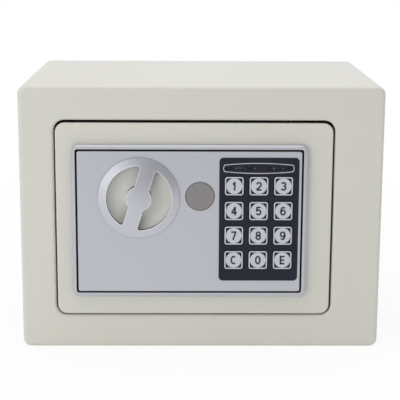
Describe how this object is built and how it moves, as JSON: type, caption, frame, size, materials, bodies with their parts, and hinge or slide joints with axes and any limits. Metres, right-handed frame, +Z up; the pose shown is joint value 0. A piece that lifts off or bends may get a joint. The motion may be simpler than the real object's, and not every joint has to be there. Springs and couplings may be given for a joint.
{
  "type": "in-room safe",
  "caption": "Small steel in-room safe with a flush hinged door, turning knob that throws bolts, printed keypad, covered emergency lock and anchor holes.",
  "frame": {"origin": "under the middle of the overall box, on the surface that the base rests on", "axes": "+Z up, +X to the hinge side as seen from the front, the door faces -Y"},
  "size_m": [0.23, 0.17, 0.17],
  "materials": {
    "shell_paint": "fine-textured cream powder coat",
    "floor_felt": "dark felt",
    "zinc_plate": "zinc-plated",
    "bright_steel": "plain steel",
    "silver_plastic": "satin silver paint",
    "black_plastic": "moulded",
    "keypad_film": "satin printed film",
    "lens_dark": "dark tinted",
    "lamp_yellow": "tinted",
    "lamp_red": "tinted",
    "lamp_green": "tinted",
    "board_green": "circuit board",
    "dish_cream": "satin moulded",
    "brass": "turned",
    "coil_wire": "wrapped winding",
    "plug_grey": "moulded",
    "cell_wrap": "plain sleeve",
    "reset_red": "moulded"
  },
  "bodies": {
    "cabinet": {"front_frame": "shell_paint", "body_wrap": "shell_paint", "back_panel": "shell_paint", "floor_mat": "floor_felt", "hinge_pins": "zinc_plate"},
    "door": {"door_plate": "shell_paint", "hinge_tabs": "zinc_plate", "lock_cover": "shell_paint", "cover_posts": "zinc_plate", "cover_screws": "bright_steel", "panel_frame": "silver_plastic", "panel_base": "black_plastic", "face_plate": "silver_plastic", "panel_screws": "bright_steel", "keypad_sheet": "keypad_film", "indicator_lens": "lens_dark", "led_yellow": "lamp_yellow", "led_red": "lamp_red", "led_green": "lamp_green", "keypad_board": "board_green", "key_domes": "bright_steel", "buzzer": "black_plastic", "spindle_bush": "brass", "bolt_guide": "zinc_plate", "guide_studs": "bright_steel", "solenoid_frame": "zinc_plate", "solenoid_coil": "coil_wire", "plunger_spring": "bright_steel", "lock_housing": "bright_steel", "lock_nut": "bright_steel", "battery_box": "black_plastic", "battery_cells": "cell_wrap", "battery_contacts": "bright_steel", "reset_switch": "black_plastic"},
    "knob": {"knob_grip": "silver_plastic", "knob_dish": "dish_cream", "knob_spindle": "bright_steel", "crank": "zinc_plate", "spindle_clip": "bright_steel"},
    "bolts": {"locking_bolts": "bright_steel", "bolt_carriage": "zinc_plate"},
    "lock": {"lock_core": "brass", "lift_cam": "zinc_plate"},
    "plunger": {"plunger": "bright_steel"},
    "key_cover": {"key_cover": "plug_grey"},
    "battery_cover": {"battery_cover": "black_plastic"},
    "reset_button": {"reset_button": "reset_red"},
    "key_1": {"key_1": "keypad_film"},
    "key_2": {"key_2": "keypad_film"},
    "key_3": {"key_3": "keypad_film"},
    "key_4": {"key_4": "keypad_film"},
    "key_5": {"key_5": "keypad_film"},
    "key_6": {"key_6": "keypad_film"},
    "key_7": {"key_7": "keypad_film"},
    "key_8": {"key_8": "keypad_film"},
    "key_9": {"key_9": "keypad_film"},
    "key_c": {"key_c": "keypad_film"},
    "key_0": {"key_0": "keypad_film"},
    "key_e": {"key_e": "keypad_film"}
  },
  "joints": [
    {"name": "door_hinge", "type": "hinge", "parent": "cabinet", "child": "door", "pos_m": [0.0568, -0.0685, 0.085], "axis": [0, 0, 1], "range_deg": [0, 105]},
    {"name": "knob_turn", "type": "hinge", "parent": "door", "child": "knob", "pos_m": [-0.03941, -0.075, 0.10011], "axis": [0, -1, 0], "range_deg": [0, 90]},
    {"name": "bolt_slide", "type": "slide", "parent": "door", "child": "bolts", "axis": [-1, 0, 0], "range_m": [0, 0.01343]},
    {"name": "emergency_lock_turn", "type": "hinge", "parent": "door", "child": "lock", "pos_m": [-0.00091, -0.075, 0.10101], "axis": [0, 1, 0], "range_deg": [0, 90]},
    {"name": "plunger_lift", "type": "slide", "parent": "door", "child": "plunger", "axis": [0, 0, 1], "range_m": [0, 0.004], "deforming": ["plunger_spring"]},
    {"name": "key_cover_pull", "type": "slide", "parent": "door", "child": "key_cover", "axis": [0, -1, 0], "range_m": [0, 0.03]},
    {"name": "battery_cover_pull", "type": "slide", "parent": "door", "child": "battery_cover", "axis": [0, 1, 0], "range_m": [0, 0.03]},
    {"name": "reset_press", "type": "slide", "parent": "door", "child": "reset_button", "axis": [0, -1, 0], "range_m": [0, 0.0012], "stiffness_N_per_m": 300},
    {"name": "key_1_press", "type": "slide", "parent": "door", "child": "key_1", "axis": [0, 1, 0], "range_m": [0, 0.0003], "stiffness_N_per_m": 500},
    {"name": "key_2_press", "type": "slide", "parent": "door", "child": "key_2", "axis": [0, 1, 0], "range_m": [0, 0.0003], "stiffness_N_per_m": 500},
    {"name": "key_3_press", "type": "slide", "parent": "door", "child": "key_3", "axis": [0, 1, 0], "range_m": [0, 0.0003], "stiffness_N_per_m": 500},
    {"name": "key_4_press", "type": "slide", "parent": "door", "child": "key_4", "axis": [0, 1, 0], "range_m": [0, 0.0003], "stiffness_N_per_m": 500},
    {"name": "key_5_press", "type": "slide", "parent": "door", "child": "key_5", "axis": [0, 1, 0], "range_m": [0, 0.0003], "stiffness_N_per_m": 500},
    {"name": "key_6_press", "type": "slide", "parent": "door", "child": "key_6", "axis": [0, 1, 0], "range_m": [0, 0.0003], "stiffness_N_per_m": 500},
    {"name": "key_7_press", "type": "slide", "parent": "door", "child": "key_7", "axis": [0, 1, 0], "range_m": [0, 0.0003], "stiffness_N_per_m": 500},
    {"name": "key_8_press", "type": "slide", "parent": "door", "child": "key_8", "axis": [0, 1, 0], "range_m": [0, 0.0003], "stiffness_N_per_m": 500},
    {"name": "key_9_press", "type": "slide", "parent": "door", "child": "key_9", "axis": [0, 1, 0], "range_m": [0, 0.0003], "stiffness_N_per_m": 500},
    {"name": "key_c_press", "type": "slide", "parent": "door", "child": "key_c", "axis": [0, 1, 0], "range_m": [0, 0.0003], "stiffness_N_per_m": 500},
    {"name": "key_0_press", "type": "slide", "parent": "door", "child": "key_0", "axis": [0, 1, 0], "range_m": [0, 0.0003], "stiffness_N_per_m": 500},
    {"name": "key_e_press", "type": "slide", "parent": "door", "child": "key_e", "axis": [0, 1, 0], "range_m": [0, 0.0003], "stiffness_N_per_m": 500}
  ],
  "couplings": [
    {"joint": "knob_turn", "follows": "bolt_slide", "rad_per_m": 116.92},
    {"joint": "emergency_lock_turn", "follows": "plunger_lift", "rad_per_m": 392.48}
  ]
}
